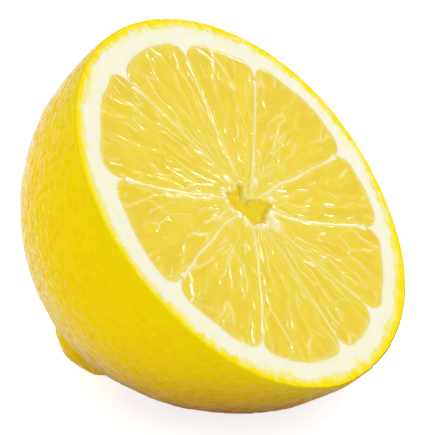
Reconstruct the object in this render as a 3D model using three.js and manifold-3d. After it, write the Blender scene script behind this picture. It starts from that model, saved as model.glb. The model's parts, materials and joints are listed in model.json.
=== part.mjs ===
// Half a lemon, cut crosswise and set down on its rounded side. It leans on two spots, the belly of the
// dome and the underside of the nipple, so the cut face looks up and out along -Y.
// Millimetres, +Z up. z = 0 is the table, and the origin is under the middle of the half.
//
// The fruit is first made along its growth axis: the cut face lies in the plane y = 0, the nipple grows
// along -Y, X runs across the face and +Z is the side that will face the table. Then it is tilted.
import * as THREE from "three";
import { mergeVertices } from "three/addons/utils/BufferGeometryUtils.js";
import Module from "manifold-3d";

// Driving dimensions, in millimetres unless a line says otherwise.
const CUT_DIAMETER = 58; // across the cut face, rind to rind
const BODY_DEPTH = 30.5; // cut face to the end of the rounded body
const BODY_FULLNESS = 2.18; // exponent of the body's outline: 2 is an ellipse, more is fuller
const NIPPLE_DIAMETER = 17.2; // where it grows out of the body
const NIPPLE_LENGTH = 5.9; // how far it stands out past the body
const NIPPLE_ROOT = 2; // its widest ring lies this far inside the end of the body
const SHOULDER_SOFTNESS = 3; // exponent that joins body and nipple: lower gives a softer shoulder
const CORE_PIT_DIAMETER = 4.8; // the small hollow at the middle of the cut face
const CORE_PIT_DEPTH = 1.6;
const REST_FLAT_DEPTH = 0.35; // how far the rind is pressed flat where it meets the table

// A lemon doesn't grow straight: its centre line wanders off the axis.
const BODY_BEND = { across: -1.25, toTable: -1.05 }; // at the end of the body
const NIPPLE_BEND = { across: -2.65, toTable: 5.65 }; // extra, at the tip of the nipple
const NIPPLE_BEND_START = 8; // the extra bend starts this far inside the end of the body
const NIPPLE_BEND_EASE = 1.5; // exponent: higher keeps more of the bend for the tip

// The rind isn't a true circle: each lobe is [waves round the fruit, share of the radius, turn in radians].
const RIND_LOBES = [
  [2, 0.0203, 0.909],
  [3, 0.0111, -0.381],
];

// How finely the surface is divided.
const SIDES = 60;
const RINGS = 26;
const OUTLINE_STEPS = 240;
const PIT_STEPS = 3;

// The resting tilt is looked for between these angles, in degrees.
const FLATTEST_TILT = 10;
const STEEPEST_TILT = 80;
const TILT_HALVINGS = 40;

const cutRadius = CUT_DIAMETER / 2;
const nippleRadius = NIPPLE_DIAMETER / 2;
const wholeDepth = BODY_DEPTH + NIPPLE_LENGTH;

// Radius of the half at a depth below the cut face: a full dome joined to a small egg-shaped nipple.
function outlineRadius(depth) {
  const bodyShare = Math.min(1, depth / BODY_DEPTH);
  const body = cutRadius * Math.sqrt(1 - bodyShare ** BODY_FULLNESS);
  const reach = (depth - BODY_DEPTH + NIPPLE_ROOT) / (NIPPLE_LENGTH + NIPPLE_ROOT);
  const nipple = nippleRadius * Math.sqrt(Math.max(0, 1 - reach ** 2));
  return (body ** SHOULDER_SOFTNESS + nipple ** SHOULDER_SOFTNESS) ** (1 / SHOULDER_SOFTNESS);
}

// The profile to spin: from the nipple's tip up the rind to the cut edge, then in to the core pit.
function spunProfile() {
  const dense = [];
  for (let step = 0; step <= OUTLINE_STEPS; step++) {
    const depth = wholeDepth * (1 - (step / OUTLINE_STEPS) ** 2);
    dense.push(new THREE.Vector2(step === 0 ? 0 : outlineRadius(depth), -depth));
  }
  const rind = new THREE.SplineCurve(dense).getSpacedPoints(RINGS);
  rind[0].set(0, -wholeDepth);
  rind[RINGS].set(cutRadius, 0);
  const pit = new THREE.EllipseCurve(0, 0, CORE_PIT_DIAMETER / 2, CORE_PIT_DEPTH, 0, -Math.PI / 2, true);
  return [...rind, ...pit.getPoints(PIT_STEPS)];
}

// Share by which the rind stands out or in at an angle round the fruit, counted from the table side.
function lobes(angle) {
  const one = ([waves, share, turn]) => share * Math.cos(waves * (angle - turn));
  return RIND_LOBES.reduce((sum, lobe) => sum + one(lobe), 0);
}

// How far the centre line has wandered off the axis at a depth below the cut face.
function bend(depth) {
  const body = (depth / BODY_DEPTH) ** 2;
  const start = BODY_DEPTH - NIPPLE_BEND_START;
  const nipple = THREE.MathUtils.clamp((depth - start) / (wholeDepth - start), 0, 1) ** NIPPLE_BEND_EASE;
  return {
    across: BODY_BEND.across * body + NIPPLE_BEND.across * nipple,
    toTable: BODY_BEND.toTable * body + NIPPLE_BEND.toTable * nipple,
  };
}

// The fruit along its growth axis: a lathed profile, made a little uneven and bent.
function fruitOnItsAxis() {
  const geometry = new THREE.LatheGeometry(spunProfile(), SIDES);
  const position = geometry.attributes.position;
  for (let i = 0; i < position.count; i++) {
    const x = position.getX(i);
    const z = position.getZ(i);
    const depth = -position.getY(i);
    const fade = 1 - Math.min(1, depth / BODY_DEPTH);
    const scale = 1 + lobes(Math.atan2(x, z)) * fade;
    const shift = bend(depth);
    position.setX(i, x * scale + shift.across);
    position.setZ(i, z * scale + shift.toTable);
  }
  return geometry;
}

// Lowest height that the vertices in a band of depths reach when the cut face is tilted up by an angle.
function lowest(geometry, tilt, nearest, farthest) {
  const position = geometry.attributes.position;
  let low = Infinity;
  for (let i = 0; i < position.count; i++) {
    const depth = -position.getY(i);
    if (depth < nearest || depth > farthest) continue;
    low = Math.min(low, -depth * Math.sin(tilt) - position.getZ(i) * Math.cos(tilt));
  }
  return low;
}

// The tilt at which the dome and the nipple touch the table together, found by halving.
function restingTilt(geometry) {
  let flat = THREE.MathUtils.degToRad(FLATTEST_TILT);
  let steep = THREE.MathUtils.degToRad(STEEPEST_TILT);
  for (let halving = 0; halving < TILT_HALVINGS; halving++) {
    const tilt = (flat + steep) / 2;
    const dome = lowest(geometry, tilt, 0, BODY_DEPTH - 2 * NIPPLE_ROOT);
    const nipple = lowest(geometry, tilt, BODY_DEPTH, wholeDepth);
    if (nipple > dome) flat = tilt;
    else steep = tilt;
  }
  return flat;
}

const wasm = await Module();
wasm.setup();

function toSolid(geometry) {
  const bare = geometry.clone();
  bare.deleteAttribute("normal");
  bare.deleteAttribute("uv");
  const merged = mergeVertices(bare);
  return new wasm.Manifold(
    new wasm.Mesh({
      numProp: 3,
      vertProperties: merged.attributes.position.array,
      triVerts: new Uint32Array(merged.index.array),
    }),
  );
}

function toGeometry(solid) {
  const mesh = solid.getMesh();
  const geometry = new THREE.BufferGeometry();
  geometry.setAttribute("position", new THREE.BufferAttribute(mesh.vertProperties, mesh.numProp));
  geometry.setIndex(new THREE.BufferAttribute(mesh.triVerts, 1));
  geometry.computeVertexNormals();
  return geometry;
}

// Presses the rind flat where it rests: everything below the table's surface is cut away.
function flattenBelowTable(geometry) {
  const reach = 4 * Math.max(CUT_DIAMETER, wholeDepth); // far enough to take in the whole fruit
  const belowTable = new THREE.BoxGeometry(reach, reach, reach).translate(0, 0, -reach / 2);
  return toGeometry(toSolid(geometry).subtract(toSolid(belowTable)));
}

// Tilts the fruit onto its two resting spots, flattens them and puts the origin under its middle.
function settle(geometry) {
  geometry.rotateX(Math.PI - restingTilt(geometry));
  geometry.computeBoundingBox();
  geometry.translate(0, 0, -geometry.boundingBox.min.z - REST_FLAT_DEPTH);
  const resting = flattenBelowTable(geometry);
  resting.computeBoundingBox();
  const middle = resting.boundingBox.getCenter(new THREE.Vector3());
  return resting.translate(-middle.x, -middle.y, 0);
}

const peel = new THREE.MeshStandardMaterial({ color: 0xf0ca03, roughness: 0.45, metalness: 0 });

const lemonHalf = new THREE.Mesh(settle(fruitOnItsAxis()), peel);
lemonHalf.name = "lemon_half";

const part = new THREE.Group();
part.add(lemonHalf);

export default part;
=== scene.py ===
# %% [markdown]
# # Half a lemon
# A lemon cut crosswise shows all its layers at once: a thin waxy rind full of oil glands, a white
# spongy pith, and ten segments of juice sacs round a torn core. This lesson grows each layer as its
# own mesh from a few measured sizes, and gives each one a material made of nodes.
#
# The frame comes first. It is the solid that the fruit was designed as, and it never moves. Every
# piece is placed from it, so nothing has to be fitted by eye.
# %% Load the frame
import itertools
import json
import math

import bpy
import numpy as np
from mathutils import Matrix, Vector

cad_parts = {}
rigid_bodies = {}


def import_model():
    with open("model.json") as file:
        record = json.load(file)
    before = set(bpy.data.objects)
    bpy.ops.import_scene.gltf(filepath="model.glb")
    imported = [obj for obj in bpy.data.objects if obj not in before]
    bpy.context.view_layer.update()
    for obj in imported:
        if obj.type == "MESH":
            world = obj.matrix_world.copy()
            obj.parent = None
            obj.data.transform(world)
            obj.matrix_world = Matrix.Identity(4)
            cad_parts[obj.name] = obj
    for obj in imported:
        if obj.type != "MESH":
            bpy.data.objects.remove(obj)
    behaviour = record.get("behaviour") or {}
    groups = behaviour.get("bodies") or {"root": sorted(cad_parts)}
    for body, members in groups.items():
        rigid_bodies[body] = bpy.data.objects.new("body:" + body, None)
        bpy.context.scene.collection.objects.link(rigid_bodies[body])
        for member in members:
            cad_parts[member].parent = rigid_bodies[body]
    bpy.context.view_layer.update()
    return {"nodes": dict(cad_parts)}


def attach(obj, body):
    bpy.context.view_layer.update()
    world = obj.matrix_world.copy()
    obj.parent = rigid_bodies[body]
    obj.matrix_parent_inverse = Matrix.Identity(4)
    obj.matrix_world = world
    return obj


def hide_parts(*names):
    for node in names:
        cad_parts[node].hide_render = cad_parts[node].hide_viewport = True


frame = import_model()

MM = 0.001
OUT = 2  # the third coordinate of a point on the face: how far out of the cut

# %% [markdown]
# ## Where the cut face is
# The knife made one plane, and everything on the cut is easiest to describe on that plane: so far
# across, so far up the face, so far out of it. The plane could be typed in by hand, but it is read
# off the frame's own solid instead: the largest set of triangles that look the same way is the cut,
# and the circle through its outer edge gives the middle and the radius.
# %% Find the cut plane
SAME_WAY = 0.99999  # two faces look the same way if their normals agree this well
LARGEST = 30  # only the largest faces that look up can be the cut


def triangles_of(mesh):
    """Normals, areas and middles of a mesh's faces, as arrays."""
    count = len(mesh.polygons)
    normals = np.zeros(count * 3)
    areas = np.zeros(count)
    middles = np.zeros(count * 3)
    mesh.polygons.foreach_get("normal", normals)
    mesh.polygons.foreach_get("area", areas)
    mesh.polygons.foreach_get("center", middles)
    return normals.reshape(-1, 3), areas, middles.reshape(-1, 3)


def points_of(mesh):
    """Where a mesh's points are, as an array."""
    flat = np.zeros(len(mesh.vertices) * 3)
    mesh.vertices.foreach_get("co", flat)
    return flat.reshape(-1, 3)


solid = frame["nodes"]["lemon_half"].data
normals, areas, middles = triangles_of(solid)
looks_up = np.where(normals[:, 2] > 0.3)[0]
biggest = looks_up[np.argsort(-areas[looks_up])[:LARGEST]]
same_way = [areas[normals @ normals[i] > SAME_WAY].sum() for i in biggest]
face_out = normals[biggest[int(np.argmax(same_way))]]
face_out /= np.linalg.norm(face_out)
face_up = np.array([0, 0, 1]) - face_out[2] * face_out
face_up /= np.linalg.norm(face_up)
face_along = np.cross(face_up, face_out)
face_level = np.median(middles[normals @ face_out > SAME_WAY] @ face_out)

on_face = points_of(solid)
on_face = on_face[np.abs(on_face @ face_out - face_level) < 0.02 * MM]
flat = np.stack([on_face @ face_along, on_face @ face_up], 1)
edge = flat[np.linalg.norm(flat - flat.mean(0), axis=1) > 20 * MM]
circle = np.linalg.lstsq(np.c_[2 * edge, np.ones(len(edge))], (edge**2).sum(1), rcond=None)[0]
face_middle = circle[0] * face_along + circle[1] * face_up + face_level * face_out
cut_radius = math.sqrt(circle[2] + circle[0] ** 2 + circle[1] ** 2) / MM
whole_depth = (face_level - (points_of(solid) @ face_out).min()) / MM
print(f"cut face: radius {cut_radius:.2f} mm, middle {np.round(face_middle / MM, 2)} mm")
tilt = math.degrees(math.asin(face_out[2]))
print(f"tilted up {tilt:.1f} degrees; the fruit is {whole_depth:.1f} mm deep")


def in_frame(points):
    """Points given as (along, up the face, out of the face) in mm, moved to the frame in metres."""
    axes = np.stack([face_along, face_up, face_out])
    return face_middle + (points @ axes) * MM


# %% [markdown]
# ## Unevenness that repeats exactly
# Nothing on a fruit is even, but the file must give the same fruit each time it runs. So instead of
# a random generator that depends on the order of calls, each place gets its own steady number from
# its whole-number cell. Two patterns grow from that: soft lumps, and cells with walls between them.
# The cells are what juice sacs and oil glands look like when they are cut or seen from above.
# %% Steady numbers, lumps and cells


def steady(cells, salt):
    """A repeatable number in 0..1 for each row of whole numbers."""
    mixed = np.full(cells.shape[:-1], (salt * 2654435761 + 97) % 2**32, np.uint64)
    for k, prime in enumerate((73856093, 19349663, 83492791)[: cells.shape[-1]]):
        whole = (cells[..., k].astype(np.int64) % 2**32).astype(np.uint64)
        mixed ^= whole * np.uint64(prime) % np.uint64(2**32)
        mixed = (mixed ^ (mixed >> np.uint64(15))) * np.uint64(2246822519) % np.uint64(2**32)
    mixed = (mixed ^ (mixed >> np.uint64(13))) * np.uint64(3266489917) % np.uint64(2**32)
    return (mixed ^ (mixed >> np.uint64(16))) / 2**32


def lumps(points, size, salt):
    """Smooth unevenness from -1 to 1 whose lumps are about `size` across."""
    places = points / size
    corner = np.floor(places).astype(np.int64)
    part = places - corner
    part = part * part * (3 - 2 * part)
    total = np.zeros(points.shape[:-1])
    for step in itertools.product((0, 1), repeat=points.shape[-1]):
        share = np.prod(np.where(np.array(step), part, 1 - part), axis=-1)
        total += share * steady(corner + np.array(step), salt)
    return 2 * total - 1


def cells(points, salt):
    """Cells about 1 across: distance to the nearest and second nearest seed, both seeds, a number."""
    corner = np.floor(points).astype(np.int64)
    near = np.full(points.shape[:-1], 9.0)
    next_near = near.copy()
    seed, next_seed = np.zeros_like(points), np.zeros_like(points)
    number = np.zeros_like(near)
    for step in itertools.product((-1, 0, 1), repeat=points.shape[-1]):
        cell = corner + np.array(step)
        spot = cell + np.stack([steady(cell, salt + k) for k in range(points.shape[-1])], -1)
        far = np.linalg.norm(points - spot, axis=-1)
        closer = far < near
        second = ~closer & (far < next_near)
        next_near = np.where(closer, near, np.where(second, far, next_near))
        next_seed = np.where(closer[..., None], seed, np.where(second[..., None], spot, next_seed))
        near = np.where(closer, far, near)
        seed = np.where(closer[..., None], spot, seed)
        number = np.where(closer, steady(cell, salt + 7), number)
    return near, next_near, seed, next_seed, number


def ease(value, low, high):
    """0 below `low`, 1 above `high`, and a smooth step between them."""
    t = np.clip((value - low) / (high - low), 0, 1)
    return t * t * (3 - 2 * t)


sample = lumps(np.random.default_rng(1).uniform(0, 50, (2000, 3)), 4.0, 5)
print(f"lumps run from {sample.min():.2f} to {sample.max():.2f}, mean {sample.mean():.2f}")

# %% [markdown]
# ## From a grid of points to a piece
# Every layer below is a grid of points: rows by columns, sometimes closed round the fruit. One
# helper turns grids into a mesh, stores the numbers that its material needs on the points, and gives
# the seen faces a clean UV map. Hidden faces share a corner of that map, so none of it is wasted.
# %% The mesh helper


def grid_faces(rows, columns, closed, first=0):
    """Quads between the points of a grid whose rows follow each other."""
    reach = columns if closed else columns - 1
    row, column = np.meshgrid(np.arange(rows - 1), np.arange(reach), indexing="ij")
    after = (column + 1) % columns
    quads = np.stack([row * columns + column, row * columns + after,
                      (row + 1) * columns + after, (row + 1) * columns + column], -1)
    return quads.reshape(-1, 4) + first


def fan(ring, middle, turned=False):
    """Triangles from a closed ring of points to one middle point."""
    ring = np.asarray(ring)
    after = np.roll(ring, -1)
    triangles = np.stack([after, ring, np.full_like(ring, middle)], -1)
    return triangles[:, ::-1] if turned else triangles


MAP_BORDER = 0.02  # the free border round a piece's UV map
HIDDEN_CORNER = 0.004  # where the map of the hidden faces begins, well inside that border


def make_piece(name, points, seen, hidden, uv, numbers, material):
    """A smooth closed mesh in the frame. `points` are face coordinates in mm."""
    placed = in_frame(points)
    placed[:, 2] = np.maximum(placed[:, 2], 0)  # the table presses the fruit flat where it rests
    mesh = bpy.data.meshes.new(name)
    faces = [tuple(f) for block in (*seen, *hidden) for f in block.tolist()]
    mesh.from_pydata(placed.tolist(), [], faces)
    seen_count = sum(len(block) for block in seen)
    uv_map = mesh.uv_layers.new(name="OFBake")
    loop_points = np.zeros(len(mesh.loops), np.int64)
    mesh.loops.foreach_get("vertex_index", loop_points)
    sides = np.array([len(f) for f in faces])
    is_seen = np.repeat(np.arange(len(faces)) < seen_count, sides)
    corner = HIDDEN_CORNER + 2 * HIDDEN_CORNER * (uv[loop_points] % 1)
    shown = MAP_BORDER + (1 - 2 * MAP_BORDER) * uv[loop_points]
    placed_uv = np.where(is_seen[:, None], shown, corner)
    uv_map.uv.foreach_set("vector", placed_uv.ravel())
    for label, values in numbers.items():
        layer = mesh.attributes.new(label, "FLOAT", "POINT")
        layer.data.foreach_set("value", np.asarray(values, np.float32))
    mesh.polygons.foreach_set("use_smooth", np.ones(len(mesh.polygons), bool))
    mesh.validate()
    mesh.update()
    mesh.materials.append(material)
    piece = bpy.data.objects.new(name, mesh)
    bpy.context.scene.collection.objects.link(piece)
    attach(piece, "root")
    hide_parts("lemon_half")
    print(f"{name}: {len(mesh.vertices)} points, {len(mesh.polygons)} faces")
    return piece


def flat_uv(points, width=62.0):
    """The cut face seen straight on, `width` mm wide."""
    return 0.5 + points[:, :2] / width


# %% [markdown]
# ## Node groups that several materials share
# A rind, a pith and a juice sac are all mottled and all a little rough at a small scale; only the
# colours and sizes differ. Each such effect is built once as a node group with named inputs, then
# placed in the materials with its own values. The groups hand out colours and heights only, so the
# shader itself stays in each material, where its own sockets can be set.
# %% Small helpers for node trees


def paint(red, green, blue):
    """A colour as a painter mixes it (0 to 255 a channel), turned into the light that it reflects."""
    share = [c / 255 for c in (red, green, blue)]
    light = [s / 12.92 if s <= 0.04045 else ((s + 0.055) / 1.055) ** 2.4 for s in share]
    return (*light, 1)


def add(tree, kind, **settings):
    """A node; settings that name an input set its value, the others set the node's own options."""
    made = tree.nodes.new(kind)
    for key, value in settings.items():
        if key in made.inputs:
            made.inputs[key].default_value = value
        else:
            setattr(made, key, value)
    return made


def join(tree, source, target):
    """Gives an input its value: another node's output, or a plain number."""
    if isinstance(source, bpy.types.NodeSocket):
        tree.links.new(source, target)
    else:
        target.default_value = source


def new_group(name, inputs, outputs):
    """An empty node group with sockets given as {name: (kind, value)} and {name: kind}."""
    group = bpy.data.node_groups.new(name, "ShaderNodeTree")
    for label, (kind, value) in inputs.items():
        made = group.interface.new_socket(label, in_out="INPUT", socket_type=kind)
        made.default_value = value
    for label, kind in outputs.items():
        group.interface.new_socket(label, in_out="OUTPUT", socket_type=kind)
    return group, group.nodes.new("NodeGroupInput"), group.nodes.new("NodeGroupOutput")


COLOUR, FLOAT = "NodeSocketColor", "NodeSocketFloat"
PER_METRE = 1000.0  # texture scale for a lump of 1 mm
print("a painter's 128 reflects", round(paint(128, 128, 128)[0], 3), "of the light")

# %% Mottle: two colours that drift into each other
mottle, entry, out = new_group(
    "Mottle",
    {"Lump Size": (FLOAT, 2.0), "Contrast": (FLOAT, 1.0), "Colour One": (COLOUR, (1, 1, 1, 1)),
     "Colour Two": (COLOUR, (0, 0, 0, 1))},
    {"Colour": COLOUR, "Mask": FLOAT},
)
where = add(mottle, "ShaderNodeTexCoord")
scale = add(mottle, "ShaderNodeMath", operation="DIVIDE")
scale.inputs[0].default_value = PER_METRE
noise = add(mottle, "ShaderNodeTexNoise", Detail=3.0, Roughness=0.55)
centred = add(mottle, "ShaderNodeMath", operation="SUBTRACT")
centred.inputs[1].default_value = 0.5
spread = add(mottle, "ShaderNodeMath", operation="MULTIPLY_ADD", use_clamp=True)
spread.inputs[2].default_value = 0.5
blend = add(mottle, "ShaderNodeMix", data_type="RGBA")
join(mottle, entry.outputs["Lump Size"], scale.inputs[1])
join(mottle, where.outputs["Object"], noise.inputs["Vector"])
join(mottle, scale.outputs[0], noise.inputs["Scale"])
join(mottle, noise.outputs["Fac"], centred.inputs[0])
join(mottle, centred.outputs[0], spread.inputs[0])
join(mottle, entry.outputs["Contrast"], spread.inputs[1])
join(mottle, spread.outputs[0], blend.inputs["Factor"])
join(mottle, entry.outputs["Colour One"], blend.inputs["A"])
join(mottle, entry.outputs["Colour Two"], blend.inputs["B"])
join(mottle, blend.outputs["Result"], out.inputs["Colour"])
join(mottle, spread.outputs[0], out.inputs["Mask"])
print(f"{mottle.name}: {len(mottle.nodes)} nodes")

# %% Stain: lays a colour over another where a number stored on the points says so
stain, entry, out = new_group(
    "Stain",
    {"Colour": (COLOUR, (1, 1, 1, 1)), "Stain": (COLOUR, (0, 0, 0, 1)), "Where": (FLOAT, 0.0),
     "Strength": (FLOAT, 1.0)},
    {"Colour": COLOUR},
)
amount = add(stain, "ShaderNodeMath", operation="MULTIPLY", use_clamp=True)
blend = add(stain, "ShaderNodeMix", data_type="RGBA")
join(stain, entry.outputs["Where"], amount.inputs[0])
join(stain, entry.outputs["Strength"], amount.inputs[1])
join(stain, amount.outputs[0], blend.inputs["Factor"])
join(stain, entry.outputs["Colour"], blend.inputs["A"])
join(stain, entry.outputs["Stain"], blend.inputs["B"])
join(stain, blend.outputs["Result"], out.inputs["Colour"])
print(f"{stain.name}: {len(stain.nodes)} nodes")

# %% Fine grain: the smallest bumps, too small to be worth points in the mesh


def grain_height(tree, size, pits_share):
    """Round pits mixed with soft lumps, `size` mm apart, as nodes in `tree`. Returns their height."""
    where = add(tree, "ShaderNodeTexCoord")
    scale = add(tree, "ShaderNodeMath", operation="DIVIDE")
    scale.inputs[0].default_value = PER_METRE
    join(tree, size, scale.inputs[1])
    pits = add(tree, "ShaderNodeTexVoronoi", feature="SMOOTH_F1", Smoothness=0.5)
    noise = add(tree, "ShaderNodeTexNoise", Detail=2.0)
    share = add(tree, "ShaderNodeMix", data_type="FLOAT")
    for texture in (pits, noise):
        join(tree, where.outputs["Object"], texture.inputs["Vector"])
        join(tree, scale.outputs[0], texture.inputs["Scale"])
    join(tree, pits_share, share.inputs["Factor"])
    join(tree, noise.outputs["Fac"], share.inputs["A"])
    join(tree, pits.outputs["Distance"], share.inputs["B"])
    return share.outputs["Result"]


grain, entry, out = new_group(
    "Fine Grain",
    {"Grain Size": (FLOAT, 0.4), "Pits": (FLOAT, 0.5)},
    {"Height": FLOAT},
)
height = grain_height(grain, entry.outputs["Grain Size"], entry.outputs["Pits"])
join(grain, height, out.inputs["Height"])
print("node groups:", [g.name for g in bpy.data.node_groups])

# %% Helpers that place the groups in a material


def new_material(name, **sockets):
    """A material with one Principled shader, its plain values set on its own sockets."""
    material = bpy.data.materials.new(name)
    material.use_nodes = True
    tree = material.node_tree
    tree.nodes.clear()
    shader = add(tree, "ShaderNodeBsdfPrincipled", **sockets)
    final = add(tree, "ShaderNodeOutputMaterial")
    join(tree, shader.outputs["BSDF"], final.inputs["Surface"])
    return material, tree, shader


def place_group(tree, group, **values):
    """A node group in a material, with its named inputs set."""
    made = tree.nodes.new("ShaderNodeGroup")
    made.node_tree = group
    for key, value in values.items():
        made.inputs[key.replace("_", " ")].default_value = value
    return made


def stored(tree, label):
    """The number that a mesh stores under a label."""
    return add(tree, "ShaderNodeAttribute", attribute_name=label).outputs["Fac"]


def stained(tree, colour, label, tint, strength):
    """`colour`, stained with `tint` where the mesh's number `label` is high."""
    made = place_group(tree, stain, Stain=tint, Strength=strength)
    join(tree, colour, made.inputs["Colour"])
    join(tree, stored(tree, label), made.inputs["Where"])
    return made.outputs["Colour"]


def bump_of(tree, height, deep):
    """The normal of a surface whose bumps are `deep` mm high."""
    bump = add(tree, "ShaderNodeBump", Distance=deep * MM)
    join(tree, height, bump.inputs["Height"])
    return bump.outputs["Normal"]


def fine_bump(tree, shader, size, pits_share, deep):
    """Fine grain on a surface and on the clear coat over it."""
    made = place_group(tree, grain, Grain_Size=size, Pits=pits_share)
    normal = bump_of(tree, made.outputs["Height"], deep)
    join(tree, normal, shader.inputs["Normal"])
    join(tree, normal, shader.inputs["Coat Normal"])


print("ready to place:", [g.name for g in (mottle, stain, grain)])

# %% [markdown]
# ## The rind
# The rind is the fruit's whole outside: a full dome, a nipple that leans towards the table, and at
# the cut a thin ring of bright yellow. It could be a sphere with a bump texture, but a lemon's
# outline is neither round nor smooth: its oil glands are real dents, about a millimetre apart, and
# they break up the highlights and the outline. So the dome is spun from the same outline as the
# frame's solid, with enough points that each gland is dented into the mesh itself.
# %% The outline, in millimetres
NIPPLE_LENGTH = 5.9
BODY_DEPTH = whole_depth - NIPPLE_LENGTH
BODY_FULLNESS = 2.18
NIPPLE_DIAMETER = 17.2
NIPPLE_ROOT = 2.0
SHOULDER_SOFTNESS = 3.0
BODY_BEND = (-1.25, -1.05)  # across the face, towards the table
NIPPLE_BEND = (-2.65, 5.65)
NIPPLE_BEND_START = 8.0  # the nipple's bend starts this far inside the end of the body
NIPPLE_BEND_EASE = 1.5
RIND_LOBES = ((2, 0.0203, 0.909), (3, 0.0111, -0.381))


def outline_radius(depth):
    """Radius of the half at a depth below the cut: a full dome joined to a small nipple."""
    body = cut_radius * np.sqrt(1 - np.minimum(1, depth / BODY_DEPTH) ** BODY_FULLNESS)
    reach = (depth - BODY_DEPTH + NIPPLE_ROOT) / (NIPPLE_LENGTH + NIPPLE_ROOT)
    nipple = NIPPLE_DIAMETER / 2 * np.sqrt(np.maximum(0, 1 - reach**2))
    return (body**SHOULDER_SOFTNESS + nipple**SHOULDER_SOFTNESS) ** (1 / SHOULDER_SOFTNESS)


def rind_lobes(angle):
    """Share by which the rind stands out at an angle on the face, counted from the right."""
    return sum(share * np.cos(waves * (angle + math.pi / 2 - turn)) for waves, share, turn in RIND_LOBES)


def rind_bend(depth):
    """How far the fruit's centre line has wandered at a depth: across the face, and up it."""
    body = (depth / BODY_DEPTH) ** 2
    start = BODY_DEPTH - NIPPLE_BEND_START
    nipple = np.clip((depth - start) / (whole_depth - start), 0, 1) ** NIPPLE_BEND_EASE
    across = BODY_BEND[0] * body + NIPPLE_BEND[0] * nipple
    to_table = BODY_BEND[1] * body + NIPPLE_BEND[1] * nipple
    return across, -to_table


def on_circle(angle):
    """The point at an angle on a circle of radius 1."""
    return np.stack([np.cos(angle), np.sin(angle)], -1)


shown = outline_radius(np.array([0.0, BODY_DEPTH / 2, BODY_DEPTH]))
print("outline radius at the cut, half way down and at the end of the body:", np.round(shown, 1))

# %% How the rind varies round the cut
ZEST_THICKNESS = 1.3  # the yellow part of the rind, at the cut
SWOLLEN_AT, SWOLLEN_WIDTH = math.radians(-50), math.radians(26)
SWOLLEN_HEIGHT = 0.85  # how far the rind stands out there


def swelling(angle):
    """Extra rind in mm on the side where it grew thickest."""
    apart = (angle - SWOLLEN_AT + math.pi) % (2 * math.pi) - math.pi
    return SWOLLEN_HEIGHT * np.exp(-((apart / SWOLLEN_WIDTH) ** 2))


def zest_radius(angle):
    """Inner edge of the yellow ring: toothed, because the knife opened oil glands along it."""
    rim = on_circle(angle) * cut_radius
    teeth = 0.42 * np.abs(lumps(rim, 0.95, 11)) + 0.24 * lumps(rim, 0.42, 12)
    drift = 0.22 * lumps(rim, 7.0, 13) + 0.18 * lumps(rim, 2.3, 14)
    return cut_radius * (1 + rind_lobes(angle)) - ZEST_THICKNESS - drift + teeth - 0.25


zest_edge = zest_radius(np.linspace(0, 2 * math.pi, 360))
print(f"the pith begins {zest_edge.min():.1f} to {zest_edge.max():.1f} mm from the middle")

# %% Spin the dome
RIND_COLUMNS, RIND_ROWS = 640, 138
EDGE_ROUND = 0.22  # radius of the rounding along the cut edge

dense = whole_depth * (1 - (1 - np.linspace(0, 1, 4000)) ** 2)
arc = np.concatenate([[0], np.cumsum(np.hypot(np.diff(dense), np.diff(outline_radius(dense))))])
rind_depths = np.interp(np.linspace(0, arc[-1], RIND_ROWS), arc, dense)
edge_depths = EDGE_ROUND * (1 - np.cos(np.radians([0, 25, 45, 65])))
rind_depths = np.concatenate([edge_depths, rind_depths[1:]])
around = np.linspace(0, 2 * math.pi, RIND_COLUMNS, endpoint=False)
depth, angle = np.meshgrid(rind_depths, around, indexing="ij")
fade = 1 - np.minimum(1, depth / BODY_DEPTH)
radius = outline_radius(depth) * (1 + rind_lobes(angle) * fade) + swelling(angle) * fade
across, up = rind_bend(depth)
dome = np.stack([radius * np.cos(angle) + across, radius * np.sin(angle) + up, -depth], -1)
print(f"rind outline {arc[-1]:.1f} mm long, with points every {arc[-1] / RIND_ROWS:.2f} mm")

# %% Dent it with pores
PORE_SPACING, PORE_DEPTH = 1.15, 0.2

down_row = np.gradient(dome, axis=0)
round_row = np.roll(dome, -1, axis=1) - np.roll(dome, 1, axis=1)
outward = np.cross(round_row, down_row)
outward /= np.maximum(np.linalg.norm(outward, axis=-1, keepdims=True), 1e-9)
outward *= np.sign((outward * (dome - [0, 0, -BODY_DEPTH / 3])).sum(-1, keepdims=True))

wander = np.stack([lumps(dome + k * 31, 3.0, 20 + k) for k in range(3)], -1) * 0.35
near, next_near, _, _, number = cells((dome + wander) / PORE_SPACING, 21)
pore = ease(0.62 - near, 0.0, 0.42) * (0.35 + 0.65 * number)
near_small, _, _, _, _ = cells(dome / (PORE_SPACING * 0.5), 25)
small_pore = ease(0.5 - near_small, 0.0, 0.35)
swell = 0.16 * lumps(dome, 7.0, 22) + 0.09 * lumps(dome, 2.4, 23)
past_body = ease(depth, BODY_DEPTH - 2.5, BODY_DEPTH + 1.5)
folds = np.stack([np.cos(angle) * 2.2, np.sin(angle) * 2.2, depth * 0.05], -1)
pucker = 0.3 * past_body * lumps(folds, 1.0, 24)
raised = swell + pucker - PORE_DEPTH * pore - 0.025 * small_pore
raised *= ease(depth, -0.6, 0.8)
dome += outward * raised[..., None]
edge_gap = np.clip(1 - depth / EDGE_ROUND, 0, 1)
dome[..., :2] -= (EDGE_ROUND * (1 - np.sqrt(1 - edge_gap**2)))[..., None] * on_circle(angle)
dome[0, :, OUT] = 0
print(f"pores {PORE_SPACING} mm apart; the skin stands from {raised.min():.2f} to {raised.max():.2f} mm")

# %% Add the cut ring and the inner wall, and close the shell
RING_ROWS = 14
INNER_DEPTH = 3.6  # the layers inside are this deep; below them the fruit isn't seen

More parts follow.
